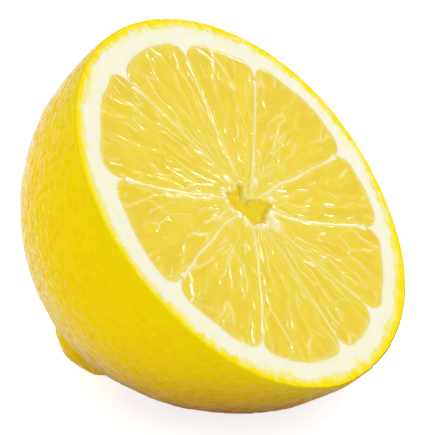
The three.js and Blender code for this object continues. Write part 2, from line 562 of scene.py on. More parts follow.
across_ring = np.linspace(0, 1, RING_ROWS + 1)[1:, None]
rim_radius = np.linalg.norm(dome[0, :, :2], axis=-1)[None]
ring_radius = rim_radius + (zest_radius(around)[None] - rim_radius) * across_ring
ring_flat = ring_radius[..., None] * on_circle(around)[None]
gland_near, _, _, _, gland_number = cells(ring_flat / 0.95, 31)
gland = ease(0.55 - gland_near, 0, 0.3) * (gland_number > 0.35)
ring_height = -0.07 * gland + 0.02 * lumps(ring_flat, 0.6, 32) * ease(across_ring, 0, 0.2)
ring = np.concatenate([ring_flat, ring_height[..., None]], -1)
wall_levels = (-0.35, -INNER_DEPTH)
walls = [np.concatenate([ring_flat[-1], np.full((RIND_COLUMNS, 1), level)], -1) for level in wall_levels]

tip = dome[-1].mean(0)
inner = [*walls[::-1], *ring[::-1]]
rows = np.concatenate([np.array(inner), dome[:-1]])
row_count = len(rows)
rind_points = np.concatenate([rows.reshape(-1, 3), [[0, 0, -INNER_DEPTH]], [tip]])
floor_index, tip_index = len(rind_points) - 2, len(rind_points) - 1
all_quads = grid_faces(row_count, RIND_COLUMNS, True)[:, ::-1]
hidden_rows = len(walls) - 1
seen_quads = all_quads[hidden_rows * RIND_COLUMNS:]
hidden_quads = all_quads[: hidden_rows * RIND_COLUMNS]
last_ring = np.arange(RIND_COLUMNS) + (row_count - 1) * RIND_COLUMNS
tip_fan = fan(last_ring, tip_index, turned=False)
floor_fan = fan(np.arange(RIND_COLUMNS), floor_index, turned=True)

steps = np.linalg.norm(np.diff(rows, axis=0), axis=-1).mean(1)
run = np.concatenate([[0], np.cumsum(steps)])
spread_out = (run[-1] + 0.4 - run) / (run[-1] + 0.4) * 0.5
rind_uv = 0.5 + (spread_out[:, None, None] * on_circle(around)[None]).reshape(-1, 2)
rind_uv = np.concatenate([rind_uv, [[0.5, 0.5]], [[0.5, 0.5]]])
ring_width = (rim_radius[0] - ring_radius[-1]).mean()
print(f"rind: {row_count} rows of {RIND_COLUMNS} points; its yellow ring is {ring_width:.1f} mm wide")

# %% Where the rind is dented or cut, and where shade is painted in its crease and near the table
TABLE_REACH = 10.5  # painted shade: the skin is painted a deep orange brown within about this height of the table, mm
CUT_REACH = 2.2  # the skin is brighter within about this distance of the cut, mm
SCAR_RADIUS = 2.6  # of the dry scar at the nipple's tip, mm
CREASE_WIDTH = 1.3


def with_inner(values, inner_value, ring_values=None):
    """One number for each point of the rind: inner wall, cut ring, dome, then the two middles."""
    if ring_values is None:
        ring_values = np.full((RING_ROWS, RIND_COLUMNS), inner_value)
    ring_part = ring_values[::-1]
    wall_part = np.full((len(walls), RIND_COLUMNS), inner_value)
    body = np.concatenate([wall_part, ring_part, values[:-1]])
    return np.concatenate([body.ravel(), [inner_value, values[-1].mean()]])


on_cut = with_inner(np.zeros_like(depth), 1.0, np.ones((RING_ROWS, RIND_COLUMNS)))
patches = 0.3 * lumps(ring_flat, 1.3, 33) + 0.2 * lumps(ring_flat, 0.6, 34)
toward_pith = with_inner(np.zeros_like(depth), 1.0, ease(across_ring + patches, 0.25, 1.1))
pore_number = with_inner(pore, 0.0, gland)
near_cut = with_inner(np.exp(-depth / CUT_REACH), 0.0, np.ones((RING_ROWS, RIND_COLUMNS)))
scar = with_inner(ease(radius, SCAR_RADIUS, 1.2) * (depth > BODY_DEPTH), 0.0)
# painted shade: a darker, browner ring in the crease round the nipple's base
painted_crease_shade = np.exp(-((depth - BODY_DEPTH + 0.3) / CREASE_WIDTH) ** 2) * ease(radius, 13, 8)
painted_crease_number = with_inner(painted_crease_shade, 0.0)
above_table = in_frame(rind_points)[:, 2] / MM
# painted shade: a deep orange brown low down near the table, less on the nipple
painted_table_shade = np.exp(-((above_table / TABLE_REACH) ** 2)) * with_inner(1 - 0.8 * past_body, 0.0)
print(f"{(painted_table_shade > 0.5).mean():.0%} of the rind's points lie near the table")

# %% [markdown]
# ### The rind's finish
# Lemon rind is a wax over a strong yellow. The colour lies a little below the surface, so light
# bleeds through it: some subsurface scattering, tinted warm. The wax is a thin coat, and a coat this
# thin shows only where the skin turns away from the eye. An even coat would lay a grey veil over the
# whole dome, so the Coat Weight grows with the angle instead, and the wax has deeper dents of its
# own, which break its sheen into small lights. Pores hold a deeper yellow and the skin brightens next
# to the cut. The crease round the nipple is darkened with painted shade. Low down, the skin is
# painted a deep orange brown as shade: there the real skin lies in its own yellow shade, which the
# bright table would wash out, so that painted shade is laid on the skin by its height above the table.
# %% Rind material: colour
rind_finish, tree, shader = new_material(
    "waxy_rind",
    **{"Subsurface Weight": 0.2, "Subsurface Radius": (1.0, 0.7, 0.2), "Subsurface Scale": 0.0004,
       "IOR": 1.45, "Specular IOR Level": 0.04, "Specular Tint": (1.0, 0.85, 0.25, 1),
       "Coat IOR": 1.25, "Coat Roughness": 0.14, "Roughness": 0.4},
)
skin = place_group(tree, mottle, Lump_Size=5.0, Contrast=1.6, Colour_One=paint(254, 218, 0),
                   Colour_Two=paint(250, 210, 0))
colour = stained(tree, skin.outputs["Colour"], "pore", paint(226, 184, 0), 0.2)
colour = stained(tree, colour, "near_cut", paint(244, 220, 2), 0.8)
# painted shade: browner in the crease round the nipple
colour = stained(tree, colour, "painted_crease_shade", paint(206, 158, 8), 0.45)
# painted shade: deep orange brown near the table
colour = stained(tree, colour, "painted_table_shade", paint(150, 76, 0), 1.0)
colour = stained(tree, colour, "scar", paint(120, 84, 30), 0.9)
colour = stained(tree, colour, "on_cut", paint(254, 230, 8), 1.0)
colour = stained(tree, colour, "toward_pith", paint(253, 242, 146), 1.0)
join(tree, colour, shader.inputs["Base Color"])
print(f"{rind_finish.name}: {len(tree.nodes)} nodes")

# %% Rind material: wax, and the piece itself
DENT_SIZE, DENT_ROUNDNESS = 0.95, 0.8
SKIN_DENT, WAX_DENT = 0.12, 0.3  # how deep the fine dents are in the skin and in its wax, mm
SHEEN_STARTS, SHEEN_FULL = 0.56, 0.9  # how far the skin has turned away where the wax shows
LEAST_SHEEN = 0.04
SHELTER = 1.3  # how quickly the wax loses its sheen towards the table

dents = place_group(tree, grain, Grain_Size=DENT_SIZE, Pits=DENT_ROUNDNESS)
join(tree, bump_of(tree, dents.outputs["Height"], SKIN_DENT), shader.inputs["Normal"])
wax_way = bump_of(tree, grain_height(tree, DENT_SIZE, DENT_ROUNDNESS), WAX_DENT)
join(tree, wax_way, shader.inputs["Coat Normal"])
turned_away = add(tree, "ShaderNodeLayerWeight", Blend=0.5)
join(tree, wax_way, turned_away.inputs["Normal"])
sheen = add(tree, "ShaderNodeMapRange", interpolation_type="SMOOTHSTEP")
sheen.inputs["From Min"].default_value = SHEEN_STARTS
sheen.inputs["From Max"].default_value = SHEEN_FULL
sheen.inputs["To Min"].default_value = LEAST_SHEEN
join(tree, turned_away.outputs["Facing"], sheen.inputs["Value"])
shelter = add(tree, "ShaderNodeMath", operation="MULTIPLY_ADD", use_clamp=True)
shelter.inputs[1].default_value = -SHELTER
shelter.inputs[2].default_value = 1.0
bare = add(tree, "ShaderNodeMath", operation="MULTIPLY")
join(tree, stored(tree, "painted_table_shade"), shelter.inputs[0])
join(tree, sheen.outputs["Result"], bare.inputs[0])
join(tree, shelter.outputs[0], bare.inputs[1])
join(tree, bare.outputs[0], shader.inputs["Coat Weight"])

peel = make_piece(
    "peel", rind_points, [seen_quads, tip_fan], [hidden_quads, floor_fan], rind_uv,
    {"on_cut": on_cut, "toward_pith": toward_pith, "pore": pore_number, "near_cut": near_cut,
     "scar": scar, "painted_crease_shade": painted_crease_number, "painted_table_shade": painted_table_shade}, rind_finish,
)

# %% [markdown]
# ## How the segments divide the face
# Ten membranes run from the pith to the core. They aren't evenly spaced and they aren't straight, so
# each one is given by two angles: where it leaves the pith, and where it reaches the core. Between
# two membranes a segment ends in a rounded edge, and the pith fills the notch between two neighbours.
# %% Membranes and segment edges
CORE = np.array([0.2, -0.7])  # where the membranes meet, in mm from the middle of the face
CORE_RADIUS = 3.4
MEMBRANES = ((-7.5, -6), (35, 31), (69, 73), (104, 97), (146, 150), (185.5, 181), (224, 230), (264, 262),
             (289.5, 285), (324.5, 309))  # degrees: at the pith, at the core
PALENESS_AND_HIGHLIGHT = (1.0, 0.85, 0.45, 0.4, 0.7, 0.8, 0.6, 0.35, 0.3, 0.7)  # how pale each membrane looks: its own pale skin, plus a painted highlight on the brightest
SEGMENT_REACH = (25.5, 24.3, 25.1, 26.3, 25.0, 24.0, 24.2, 24.1, 25.0, 25.3)  # mm from the core
CORNER = 2.7  # how far the rounded corners of a segment fall back, mm
RING_STEPS = 1080


def membrane_angle(k, radius):
    """Angle of membrane k at a distance from the core, in radians. It counts on past a full turn."""
    turns, which = divmod(k, len(MEMBRANES))
    at_pith, at_core = (math.radians(a) + 2 * math.pi * turns for a in MEMBRANES[which])
    share = np.clip((radius - CORE_RADIUS) / 20, 0, 1) ** 0.6
    waver = 0.25 * lumps(np.stack([radius, radius * 0 + which * 9.0], -1), 4.0, 41)
    return at_core + (at_pith - at_core) * share + waver / np.maximum(radius, 4)


def segment_edge(k, side):
    """Distance from the core to segment k's outer edge; side runs from -1 to 1 across it."""
    reach = SEGMENT_REACH[k]
    half_width = (membrane_angle(k + 1, reach) - membrane_angle(k, reach)) / 2 * reach
    bend_in = np.clip((np.abs(side) * half_width - half_width + CORNER) / CORNER, 0, 1)
    wavy = 0.3 * lumps(np.stack([side * half_width, side * 0 + k * 7.0], -1), 3.0, 42)
    return reach - CORNER * (1 - np.sqrt(1 - bend_in**2)) + wavy


def flesh_radius(angle):
    """Outer edge of the flesh in any direction from the core."""
    edge_at = np.full_like(angle, min(SEGMENT_REACH) - CORNER)
    for k in range(len(MEMBRANES)):
        low = membrane_angle(k, np.array(24.0))
        high = membrane_angle(k + 1, np.array(24.0))
        inside = (angle - low) % (2 * math.pi) / (high - low)
        side = np.clip(2 * inside - 1, -1, 1)
        edge_at = np.where(inside <= 1, segment_edge(k, side), edge_at)
    return edge_at


ring_angles = np.linspace(0, 2 * math.pi, RING_STEPS, endpoint=False)
flesh_edge = flesh_radius(ring_angles)
print(f"flesh reaches {flesh_edge.min():.1f} to {flesh_edge.max():.1f} mm from the core")

# %% [markdown]
# ## The pith
# The pith is a dry white sponge between the zest and the flesh. It is a ring whose outer edge
# follows the toothed zest and whose inner edge dips into the notches between segments. A ring of
# points from one edge to the other gives both shapes at once, and fine lumps make it spongy. At the
# flesh it dives below the surface, so that the wet segments lie over its edge and hide it.
# %% The pith's two edges
PITH_ROWS = 26


def zest_from_core(angle):
    """Distance from the core to the zest's inner edge, found by a few corrections."""
    distance = np.full_like(angle, cut_radius - 2)
    for _ in range(6):
        spot = CORE + distance[:, None] * on_circle(angle)
        wanted = zest_radius(np.arctan2(spot[:, 1], spot[:, 0]))
        distance += wanted - np.linalg.norm(spot, axis=1)
    return distance


def sagging(flat_points):
    """The soft waves that the pith and the segments share, so that their surfaces meet."""
    return 0.05 * lumps(flat_points, 6.0, 65)


UNDER_ZEST, UNDER_FLESH = 0.12, 0.25  # how far the pith reaches in under its neighbours, mm
outer = zest_from_core(ring_angles) + UNDER_ZEST
inner_edge = flesh_edge - UNDER_FLESH
print(f"pith {(outer - inner_edge).min():.1f} to {(outer - inner_edge).max():.1f} mm wide")

# %% Pith ring
share = np.linspace(0, 1, PITH_ROWS)[:, None]
pith_radius = outer[None] + (inner_edge - outer)[None] * share
pith_flat = CORE + pith_radius[..., None] * on_circle(ring_angles)[None]
past_flesh = (share - 1) * (outer - inner_edge)[None] + UNDER_FLESH  # mm past the edge of the flesh
spongy = 0.03 * lumps(pith_flat, 1.0, 51) + 0.05 * lumps(pith_flat, 2.8, 52)
pith_height = spongy * ease(-past_flesh, -0.1, 0.7) + sagging(pith_flat)
pith_height = pith_height - 0.15 * ease(past_flesh, 0, UNDER_FLESH) - 0.1 * ease(1 - share, 0.95, 1.0)
pith_top = np.concatenate([pith_flat, pith_height[..., None]], -1)
pith_low = np.stack([pith_top[-1], pith_top[0]])
pith_low[..., OUT] = -INNER_DEPTH + 0.1
pith_rows = np.concatenate([pith_top, pith_low])
pith_points = pith_rows.reshape(-1, 3)
pith_quads = grid_faces(PITH_ROWS, RING_STEPS, True)
low_quads = grid_faces(3, RING_STEPS, True, first=(PITH_ROWS - 1) * RING_STEPS)
last_row = np.arange(RING_STEPS) + (PITH_ROWS + 1) * RING_STEPS
first_row = np.arange(RING_STEPS)
closing = np.stack([last_row, np.roll(last_row, -1), np.roll(first_row, -1), first_row], -1)
by_flesh = np.exp(np.minimum(past_flesh, 0) / 0.22)
from_zest = share * (outer - inner_edge)[None] - UNDER_ZEST
blotches = 0.7 * lumps(pith_flat, 1.4, 54) + 0.4 * lumps(pith_flat, 0.6, 55)
by_zest = ease(0.9 - from_zest + blotches, 0, 1.3)
print(f"the pith's surface runs from {pith_height.min():.2f} to {pith_height.max():.2f} mm")

# %% Pith material


def padded_rows(values, extra):
    """A number for each point on top, and 0 for the `extra` points underneath."""
    return np.concatenate([values.ravel(), np.zeros(extra)])


pith_finish, tree, shader = new_material(
    "spongy_pith",
    **{"Subsurface Weight": 0.3, "Subsurface Radius": (1.0, 0.9, 0.6), "Subsurface Scale": 0.0004,
       "Roughness": 0.6, "IOR": 1.4},
)
sponge = place_group(tree, mottle, Lump_Size=1.6, Contrast=1.4, Colour_One=paint(252, 248, 226),
                     Colour_Two=paint(249, 243, 210))
colour = stained(tree, sponge.outputs["Colour"], "by_flesh", paint(246, 228, 130), 0.75)
colour = stained(tree, colour, "by_zest", paint(252, 241, 140), 0.85)
join(tree, colour, shader.inputs["Base Color"])
fine_bump(tree, shader, 0.5, 0.3, 0.01)
pith = make_piece(
    "pith", pith_points, [pith_quads], [low_quads, closing], flat_uv(pith_points),
    {"by_flesh": padded_rows(by_flesh, 2 * RING_STEPS), "by_zest": padded_rows(by_zest, 2 * RING_STEPS)},
    pith_finish,
)

# %% [markdown]
# ## Juice sacs
# A segment is packed with juice sacs: long drops that hang from the pith and point to the core. Cut
# across, each is a wet patch with a pale wall round it. The pattern of cells above gives them, if it
# is stretched: narrow round the core and long towards it. Stretching spoils the walls, which would
# come out thick at the ends of each sac, so the distance to a wall is worked back into millimetres.
# Some sacs are cut open and their surface sinks, others stay whole and bulge.
# %% The sac pattern
SAC_ANGLE, SAC_LENGTH = 0.15, 8.0  # a sac's width in radians seen from the core, and its length in mm
FIBRE_ANGLE, FIBRE_LENGTH = 0.08, 4.0  # finer strokes inside the sacs
WALL_WIDTH = 0.18


def wall_pattern(flat_points, radius, angle, salt, wide, long, sway):
    """Cells stretched towards the core: mm to the nearest wall, strength per wall, number per cell."""
    drift = 1.4 * lumps(flat_points, 5.0, salt + 2) + 0.5 * lumps(flat_points, 1.7, salt + 5)
    places = np.stack([(angle + sway / radius) / wide, (radius + drift) / long], -1)
    near, next_near, seed, next_seed, number = cells(places, salt + 3)
    between = next_seed - seed
    gap = np.maximum(np.linalg.norm(between, axis=-1), 1e-6)
    sideways = between[..., 0] / gap / (wide * radius)
    per_mm = np.maximum(np.hypot(sideways, between[..., 1] / gap / long), 1e-6)
    to_wall = (next_near**2 - near**2) / (2 * gap) / per_mm
    pair = np.round((seed + next_seed) * 16).astype(np.int64)
    towards_core = 0.2 + 0.8 * ease(np.abs(sideways) / per_mm, 0.35, 0.85)
    return to_wall, steady(pair, salt + 4) * towards_core, number


def juice_sacs(flat_points, radius, angle, salt):
    """Strength of the walls, surface height in mm, a number per sac, haze beside walls, streaks."""
    sway = 0.5 * lumps(flat_points, 4.5, salt) + 0.32 * lumps(flat_points, 1.5, salt + 1)
    sway = sway + 0.12 * lumps(flat_points, 0.7, salt + 8)
    place = (flat_points, radius, angle)
    to_wall, strength, number = wall_pattern(*place, salt, SAC_ANGLE, SAC_LENGTH, sway)
    patches = lumps(flat_points, 1.6, salt + 6) + 0.5 * lumps(flat_points, 4.0, salt + 7)
    broken = ease(patches, -0.45, 0.35)
    wall = np.exp(-((to_wall / WALL_WIDTH) ** 2)) * (0.15 + 0.85 * strength) * (0.15 + 0.85 * broken)
    haze = np.exp(-((to_wall / 0.5) ** 2)) * (0.2 + 0.8 * strength) * (0.4 + 0.6 * broken)
    to_fibre, fibre_strength, _ = wall_pattern(*place, salt + 9, FIBRE_ANGLE, FIBRE_LENGTH, sway)
    patchy = ease(lumps(flat_points, 1.9, salt + 12), -0.05, 0.45) * ease(fibre_strength, 0.3, 0.8)
    fibre = np.exp(-((to_fibre / (0.8 * WALL_WIDTH)) ** 2)) * patchy
    fade_in = 0.35 + 0.65 * ease(radius, 2.5, 8)
    wall, fibre = wall * fade_in, fibre * fade_in
    belly = 1 - np.exp(-((to_wall / 0.8) ** 2))
    height = np.where(number < 0.6, -0.08, 0.06) * belly * (0.4 + number)
    height = height + 0.13 * wall + 0.08 * fibre
    turned = angle + 0.6 * sway / radius
    streak = 0.6 * lumps(np.stack([turned / 0.06, radius / 3.5], -1), 1.0, salt + 14)
    streak = streak + 0.5 * lumps(np.stack([turned / 0.028, radius / 2.2], -1), 1.0, salt + 15)
    return np.maximum(wall, 0.8 * fibre), height, number, haze, ease(streak, -0.35, 0.6)


print(f"at 15 mm from the core a sac is about {SAC_ANGLE * 15:.1f} mm wide and {SAC_LENGTH:.0f} mm long")

# %% [markdown]
# ### The torn middle
# Where the membranes meet, the strand of the core has torn away. It left an uneven crescent with a
# sharp, frayed edge on one side and a gentle slope on the other, and a few loose tufts round it. A
# hole cut out of the mesh would be hard to keep closed, so the surface is pressed in instead, by a
# height worked out from an outline of eleven points. The same relief is used for every piece that
# reaches the middle, so that their surfaces meet.
# %% The hollow's outline and relief
HOLLOW = np.array([(-2.9, 2.3), (-0.3, 1.8), (0.7, 2.2), (1.6, 1.6), (-0.3, 0.1), (2.0, -1.1),
                   (3.9, -3.0), (0.8, -4.2), (-2.5, -3.6), (-2.4, -1.8), (-3.7, 0)])
HOLLOW_DEPTH = 0.7
# Tufts of torn skin beside the hollow: across the face, up the face, and how wide, in mm.
TUFTS = ((1.8, -5.3, 0.95), (3.7, 1.0, 0.55), (4.3, -2.3, 0.45), (-0.9, 3.5, 0.5))


def depth_inside(points, corners):
    """How far points lie inside a closed outline; negative outside it."""
    nearest = np.full(points.shape[:-1], 99.0)
    inside = np.zeros(points.shape[:-1], bool)
    for start, end in zip(corners, np.roll(corners, -1, axis=0)):
        way = end - start
        share = np.clip((points - start) @ way / (way @ way), 0, 1)
        nearest = np.minimum(nearest, np.linalg.norm(points - start - share[..., None] * way, axis=-1))
        spans = (start[1] > points[..., 1]) != (end[1] > points[..., 1])
        crossing = start[0] + way[0] * (points[..., 1] - start[1]) / (way[1] + 1e-9)
        inside ^= spans & (points[..., 0] < crossing)
    return np.where(inside, nearest, -nearest)


def torn_middle(flat_points):
    """Height of the surface round the core, how golden it is and how frayed."""
    inside = depth_inside(flat_points, HOLLOW)
    inside = inside + 0.22 * lumps(flat_points, 0.9, 81) + 0.12 * lumps(flat_points, 0.4, 82)
    gentle = ease(flat_points @ np.array([0.75, 0.65]), -1.6, 1.2)
    deep = ease(inside, -0.08, 0.3 + 0.25 * gentle)
    along_edge = np.exp(-(((inside + 0.5) / 0.5) ** 2))
    frayed = along_edge * (1 - gentle) * ease(lumps(flat_points, 0.7, 83), -0.7, 0.2)
    for across, up_face, wide in TUFTS:
        tuft = np.exp(-((np.linalg.norm(flat_points - [across, up_face], axis=-1) / wide) ** 2))
        frayed = np.maximum(frayed, tuft * ease(lumps(flat_points, 0.4, 86), -1.4, -0.2))
    rough = 0.10 * lumps(flat_points, 0.9, 84) + 0.06 * lumps(flat_points, 0.4, 85)
    rough = rough * np.exp(-np.abs(inside) / 1.5)
    return -HOLLOW_DEPTH * deep + 0.25 * frayed + np.clip(rough, -0.15, 0.15), deep, frayed


span = HOLLOW.max(0) - HOLLOW.min(0)
print(f"the hollow is {span[0]:.1f} mm across, {span[1]:.1f} mm high and {HOLLOW_DEPTH} mm deep")

# %% [markdown]
# ### A segment
# On the real fruit a segment is a wedge of flesh in its own skin. Here it is a grid of points that
# runs from one membrane to the next and from the core to the pith. Its top carries the sacs and the
# torn middle, a skirt goes down all round it, and a fan of triangles closes it underneath.
# %% The grid of one segment
SIDE_STEPS, REACH_STEPS = 170, 134
TIP = 0.15  # the segments are drawn to this distance from the core, mm
OVERLAP = 0.03  # neighbours reach this far into each other, so that no gap opens between them, mm


def segment_grid(k):
    """Segment k's points on the face, and how far each is from the core, the edge and the pith."""
    sides, reaches = np.linspace(-1, 1, SIDE_STEPS), np.linspace(0, 1, REACH_STEPS)
    side, reach = np.meshgrid(sides, reaches, indexing="ij")
    outer_edge = segment_edge(k, side)
    radius = TIP + (outer_edge - TIP) * reach
    low = membrane_angle(k, radius) - OVERLAP / radius
    high = membrane_angle(k + 1, radius) + OVERLAP / radius
    angle = low + (high - low) * (side + 1) / 2
    flat_points = CORE + radius[..., None] * np.stack([np.cos(angle), np.sin(angle)], -1)
    to_side = (1 - np.abs(side)) * (high - low) / 2 * radius
    to_edge = np.minimum(to_side, outer_edge - radius)
    return flat_points, radius, angle, to_edge, outer_edge - radius


def outline_of(rows, columns):
    """Indices round a grid's border, in order."""
    grid = np.arange(rows * columns).reshape(rows, columns)
    return np.concatenate([grid[0, :-1], grid[:-1, -1], grid[-1, :0:-1], grid[:0:-1, 0]])


print(f"each segment has {SIDE_STEPS} x {REACH_STEPS} points on top")

# %% Make a segment
FACE_SPAN = 27  # a segment fits a square of this side on its UV map, mm


def make_segment(k, finish):
    """Segment k as a closed piece, with the numbers that its colours need."""
    flat_points, radius, angle, to_edge, to_pith = segment_grid(k)
    wall, relief, number, by_wall, streak = juice_sacs(flat_points, radius, angle, 100 + 20 * k)
    torn, deep, frayed = torn_middle(flat_points)
    ripple = 0.012 * lumps(flat_points, 0.5, 63) + 0.03 * lumps(flat_points, 1.3, 64)
    rounded = -0.02 * np.exp(-to_edge / 0.2)
    height = ((relief + ripple) * ease(to_edge, 0.0, 0.5) + rounded) * (1 - deep)
    height = height + sagging(flat_points) + torn
    top = np.concatenate([flat_points, height[..., None]], -1).reshape(-1, 3)
    border = outline_of(SIDE_STEPS, REACH_STEPS)
    below = top[border].copy()
    below[:, OUT] = -INNER_DEPTH + 0.2
    points = np.concatenate([top, below, [below.mean(0)]])
    low = len(top) + np.arange(len(border))
    skirt = np.stack([border, np.roll(border, -1), np.roll(low, -1), low], -1)
    quads = grid_faces(SIDE_STEPS, REACH_STEPS, False)
    extra = len(points) - len(top)
    middle_of = flat_points.reshape(-1, 2).mean(0)
    uv = 0.5 + (points[:, :2] - middle_of) / FACE_SPAN
    piece = make_piece(
        f"segment_{k + 1:02d}", points, [quads], [skirt[:, ::-1], fan(low, len(points) - 1)], uv,
        {"wall": padded_rows(wall * (1 - deep), extra), "sac": padded_rows(number, extra),
         "by_wall": padded_rows(by_wall, extra), "streak": padded_rows(streak, extra),
         "by_pith": padded_rows(np.exp(-to_pith / 2.2), extra),
         "by_edge": padded_rows(np.exp(-to_edge / 0.3), extra),
         "by_core": padded_rows(np.exp(-radius / 5.5), extra),
         "deep": padded_rows(deep, extra), "frayed": padded_rows(frayed, extra)}, finish,
    )
    return piece


print(f"a segment's map shows {FACE_SPAN} mm of the face")

# %% [markdown]
# ### The flesh's finish
# Juice is clear and the sac walls are cloudy, so the flesh glows: much of its light has travelled
# through it. Subsurface scattering with a long red and yellow reach does that. Its surface is wet,
# so it is smooth with a full clear coat, and the relief above turns that into small glints. Only the
# torn hollow has dried: the coat fades there, and the colour is a plain gold. Every stain below
# reads one number from the mesh, so the colours sit exactly on the walls and edges made above.
# %% Flesh material
flesh_finish, tree, shader = new_material(
    "wet_flesh",
    **{"Subsurface Weight": 0.35, "Subsurface Radius": (1.0, 0.85, 0.4), "Subsurface Scale": 0.0005,
       "Roughness": 0.3, "IOR": 1.34, "Coat Roughness": 0.06, "Coat IOR": 1.4},
)
juice = place_group(tree, mottle, Lump_Size=3.0, Contrast=2.0, Colour_One=paint(246, 214, 10),
                    Colour_Two=paint(241, 206, 0))
colour = stained(tree, juice.outputs["Colour"], "by_pith", paint(240, 200, 0), 0.6)
colour = stained(tree, colour, "sac", paint(248, 221, 40), 0.4)
colour = stained(tree, colour, "streak", paint(249, 225, 50), 0.55)
colour = stained(tree, colour, "by_core", paint(251, 227, 72), 0.6)
colour = stained(tree, colour, "by_wall", paint(251, 227, 56), 0.45)
colour = stained(tree, colour, "by_edge", paint(252, 236, 130), 0.7)
colour = stained(tree, colour, "wall", paint(255, 240, 160), 0.95)
colour = stained(tree, colour, "deep", paint(247, 214, 0), 1.0)
colour = stained(tree, colour, "frayed", paint(255, 250, 215), 0.9)
join(tree, colour, shader.inputs["Base Color"])
fine_bump(tree, shader, 0.5, 0.2, 0.015)

DRIED = 0.85  # the share of the wet coat that is gone in the hollow
drier = add(tree, "ShaderNodeMath", operation="MULTIPLY_ADD")
drier.inputs[1].default_value = -DRIED
drier.inputs[2].default_value = 1.0
join(tree, stored(tree, "deep"), drier.inputs[0])
join(tree, drier.outputs[0], shader.inputs["Coat Weight"])
segments = [make_segment(k, flesh_finish) for k in range(len(MEMBRANES))]

# %% [markdown]
# ## Membranes
# Between two segments stands a thin double skin. It is widest where it leaves the pith and thins to
# a thread at the core. It could be a tube laid on the cut, but a tube's ends would show. So each is a
# low wall with a rounded top that follows its own curve. It spreads into the pith at one end, and at
# the other it narrows and dips into the flesh before it reaches the torn hollow.
# %% Membrane walls
MEMBRANE_STEPS = 90
ACROSS = np.array([-1.0, -0.85, -0.5, 0.0, 0.5, 0.85, 1.0])


def make_membrane(k, finish):
    """The wall between segment k and the one before it, as a closed piece."""
    end = min(SEGMENT_REACH[k], SEGMENT_REACH[k - 1]) - CORNER + 0.8
    trial = np.linspace(0.9, end, 400)
    inside = depth_inside(CORE + trial[:, None] * on_circle(membrane_angle(k, trial)), HOLLOW)
    start = max(1.8, trial[inside > -0.4].max(initial=0) + 0.1)
    radius = np.linspace(start, end, MEMBRANE_STEPS)
    angle = membrane_angle(k, radius)
    line = CORE + radius[:, None] * on_circle(angle)
    side_way = on_circle(angle + math.pi / 2)
    strength = 0.6 + 0.4 * lumps(line, 3.0, 71 + k)
    half = (0.13 + 0.10 * strength) * (1.3 - 0.2 * PALENESS_AND_HIGHLIGHT[k]) + 0.7 * np.exp(-(end - radius) / 0.8)
    half *= 1 - 0.85 * np.exp(-(radius - start) / 0.7)
    flat_points = line[:, None] + side_way[:, None] * (half[:, None, None] * ACROSS[None, :, None])
    crown = 0.05 - 0.08 * np.abs(ACROSS)[None] ** 3 + 0.03 * lumps(flat_points, 1.2, 72)
    crown = crown - 0.3 * np.exp(-(end - radius) / 0.3)[:, None]
    crown = crown - 0.12 * np.exp(-(radius - start) / 0.4)[:, None]
    crown = crown + torn_middle(flat_points)[0] + sagging(flat_points)
    top = np.concatenate([flat_points, crown[..., None]], -1)
    rows, columns = top.shape[:2]
    top = top.reshape(-1, 3)
    border = outline_of(rows, columns)
    below = top[border].copy()
    below[:, OUT] = -INNER_DEPTH + 0.3
    points = np.concatenate([top, below])
    low = len(top) + np.arange(len(border))
    skirt = np.stack([border, np.roll(border, -1), np.roll(low, -1), low], -1)
    quads = grid_faces(rows, columns, False)
    bottom = np.array([low])
    low_span = len(points) - len(top)
    by_pith = np.exp(-(end - radius) / 1.5)[:, None] * np.ones(columns)
    piece = make_piece(
        f"membrane_{k + 1:02d}", points, [quads[:, ::-1]], [skirt, bottom],
        0.5 + (points[:, :2] - line.mean(0)) / 24,
        {"by_pith": padded_rows(by_pith, low_span),
         "pale_and_highlight": padded_rows(PALENESS_AND_HIGHLIGHT[k] * strength[:, None] * np.ones(columns), low_span)}, finish,
    )
    return piece


print(f"each membrane is {MEMBRANE_STEPS} points long and {len(ACROSS)} across")

# %% Membrane material
membrane_finish, tree, shader = new_material(
    "pale_membrane",
    **{"Roughness": 0.35, "IOR": 1.38, "Coat Weight": 0.8, "Coat Roughness": 0.1},
)
skin = place_group(tree, mottle, Lump_Size=1.6, Contrast=3.0, Colour_One=paint(247, 222, 70),
                   Colour_Two=paint(252, 234, 120))
# partly the membranes' own pale skin, partly a painted highlight that makes the brightest near white
colour = stained(tree, skin.outputs["Colour"], "pale_and_highlight", paint(255, 246, 190), 1.0)
colour = stained(tree, colour, "by_pith", paint(251, 246, 214), 1.0)
join(tree, colour, shader.inputs["Base Color"])
fine_bump(tree, shader, 0.35, 0.3, 0.01)
membranes = [make_membrane(k, membrane_finish) for k in range(len(MEMBRANES))]

# %% [markdown]
# ## The core
# The last small gap is in the middle, where no segment reaches. The stump of the core fills it: a
# small plug whose top follows the same torn relief. It lies a little below the tips of the segments
# and reaches in under them, so that no gap can open between the two.
# %% Core stump
CORE_STEPS, CORE_ROWS = 120, 22
STUMP_RADIUS = 2.4  # it reaches in under the tips of the segments, mm
core_angles = np.linspace(0, 2 * math.pi, CORE_STEPS, endpoint=False)
core_share = np.linspace(1, 0, CORE_ROWS + 1)[:-1, None]
core_flat = CORE + (core_share * STUMP_RADIUS)[..., None] * on_circle(core_angles)[None]
core_height, core_deep, core_frayed = torn_middle(core_flat)
core_height = core_height - 0.05 - 0.15 * ease(core_share, 0.85, 1.0)
core_top = np.concatenate([core_flat, core_height[..., None]], -1).reshape(-1, 3)
core_low = np.concatenate([core_flat[0], np.full((CORE_STEPS, 1), -INNER_DEPTH + 0.1)], -1)
core_ends = [[*CORE, core_height[-1].mean()], [*CORE, -INNER_DEPTH + 0.1]]
core_points = np.concatenate([core_top, core_low, core_ends])
core_quads = grid_faces(CORE_ROWS, CORE_STEPS, True)
outer_ring = np.arange(CORE_STEPS)
inner_ring = outer_ring + (CORE_ROWS - 1) * CORE_STEPS
